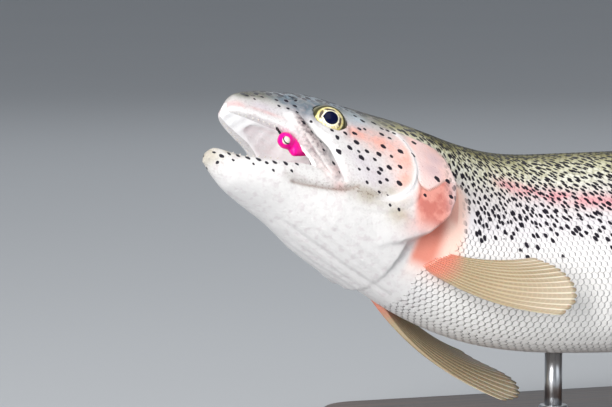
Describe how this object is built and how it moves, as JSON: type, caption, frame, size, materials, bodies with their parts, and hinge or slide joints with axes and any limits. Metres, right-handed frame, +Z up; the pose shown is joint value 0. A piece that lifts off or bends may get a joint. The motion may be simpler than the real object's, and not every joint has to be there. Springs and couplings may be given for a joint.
{
  "type": "rainbow trout",
  "caption": "Life-size rainbow trout turning with its head raised and mouth open on a lure, on a two-rod display stand.",
  "frame": {"origin": "centre of the underside of the stand's base", "axes": "+Z up, +X from the snout towards the tail, the fish's left flank towards -Y"},
  "size_m": [0.5426, 0.1371, 0.1645],
  "materials": {
    "skin_head": "wet, cream and salmon with dark spots",
    "skin_body": "wet scales, olive back, pink band, silver belly, dark spots",
    "mouth_lining": "wet white and pale pink",
    "fin": "translucent rays and membrane",
    "eye": "clear gloss over a gold iris and dark pupil",
    "lure_paint": "gloss magenta",
    "lure_pearl": "pearl",
    "hook_wire": "dark nickel",
    "base_wood": "satin dark walnut",
    "rod_steel": "brushed"
  },
  "bodies": {
    "root": {"head": "skin_head", "jaw_lower": "skin_head", "maxilla_left": "skin_head", "maxilla_right": "skin_head", "preopercle_left": "skin_head", "preopercle_right": "skin_head", "gill_cover_left": "skin_head", "gill_cover_right": "skin_head", "tongue": "mouth_lining", "eye_left": "eye", "eye_right": "eye", "trunk_front": "skin_body", "trunk_middle": "skin_body", "tail_stem": "skin_body", "fin_dorsal": "fin", "fin_adipose": "fin", "fin_anal": "fin", "fin_tail": "fin", "fin_pelvic_left": "fin", "fin_pelvic_right": "fin", "fin_pectoral_left": "fin", "fin_pectoral_right": "fin", "lure_body": "lure_paint", "lure_bead": "lure_pearl", "lure_hook": "hook_wire", "stand_base": "base_wood", "stand_rod_front": "rod_steel", "stand_rod_rear": "rod_steel"}
  },
  "joints": []
}
